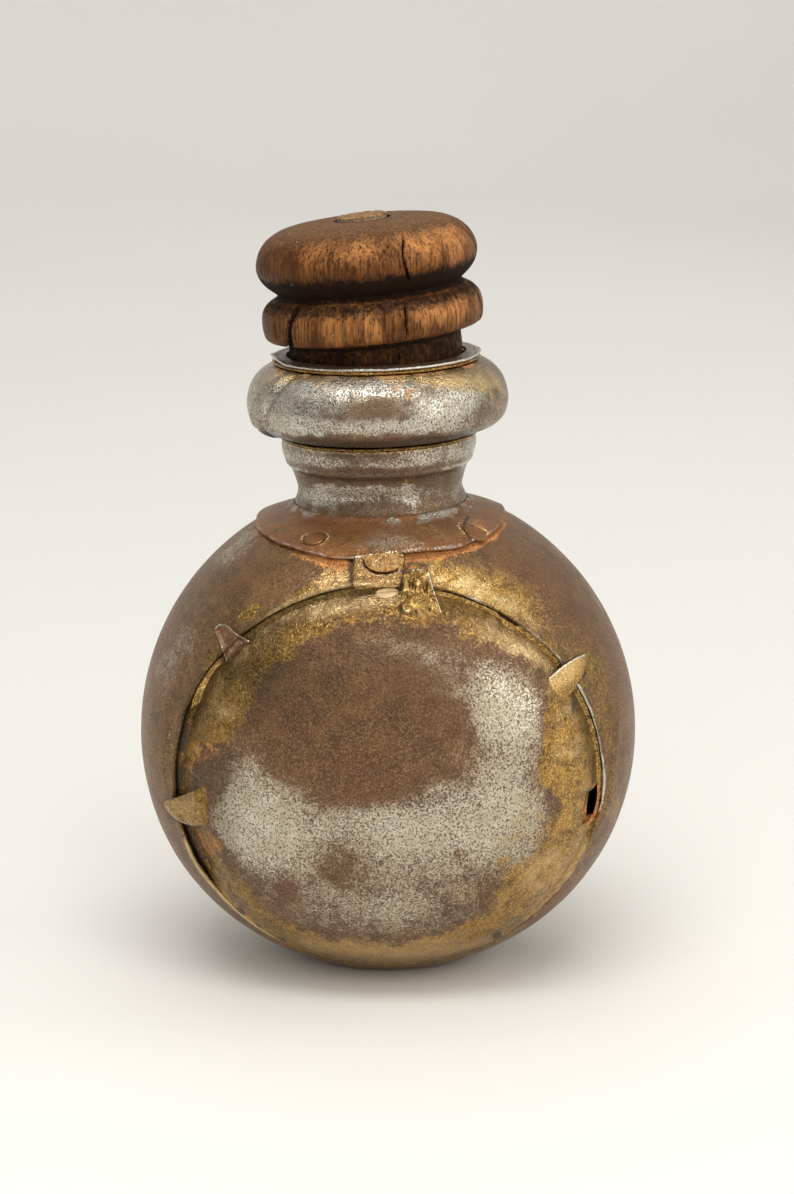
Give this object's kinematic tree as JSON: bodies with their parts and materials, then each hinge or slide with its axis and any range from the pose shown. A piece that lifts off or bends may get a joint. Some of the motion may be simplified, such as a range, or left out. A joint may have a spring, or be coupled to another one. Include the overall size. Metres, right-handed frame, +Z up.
{
  "type": "stoppered metal flask",
  "caption": "Round flattened flask of old brazed sheet iron with dished front and rear panels, a bulbed neck and a turned wooden stopper that pulls out.",
  "frame": {"origin": "on the floor under the centre of the body, at the middle of the flat foot", "axes": "+Z up; -Y is the front, where the teeth of the seam and the strap are; +X to the right seen from the front"},
  "size_m": [0.13, 0.1072, 0.199],
  "materials": {
    "wood": "dry turned wood, dark brown with orange wear and fine cracks",
    "pale_wood": "rough end grain, golden brown",
    "hoop_iron": "brown patinated sheet iron, worn to grey, brassy near the seam",
    "panel_iron": "brown and silver-grey pitted sheet iron with a brassy rim",
    "brown_iron": "brown patinated iron",
    "brassed_iron": "iron washed with brass",
    "worn_steel": "worn pitted iron, bright where it is handled",
    "brass_filler": "dull brass run into the joints"
  },
  "bodies": {
    "flask": {"mouth_plate": "worn_steel", "mouth_braze": "brass_filler", "neck_bulb": "worn_steel", "bulb_braze": "brass_filler", "neck_collar": "worn_steel", "neck_foot_braze": "brass_filler", "shoulder_plate": "brown_iron", "shoulder_rivet_1": "brown_iron", "shoulder_rivet_2": "brown_iron", "shoulder_rivet_3": "brown_iron", "shoulder_rivet_4": "brown_iron", "seam_strap": "brassed_iron", "strap_rivet": "brown_iron", "body_hoop": "hoop_iron", "front_panel": "panel_iron", "rear_panel": "panel_iron", "front_seam_braze": "brass_filler", "rear_seam_braze": "brass_filler"},
    "stopper": {"stopper": "wood", "stopper_peg": "pale_wood"}
  },
  "joints": [
    {"name": "stopper_pull", "type": "slide", "parent": "flask", "child": "stopper", "axis": [-0.1002, 0, 0.995], "range_m": [0, 0.03]}
  ]
}
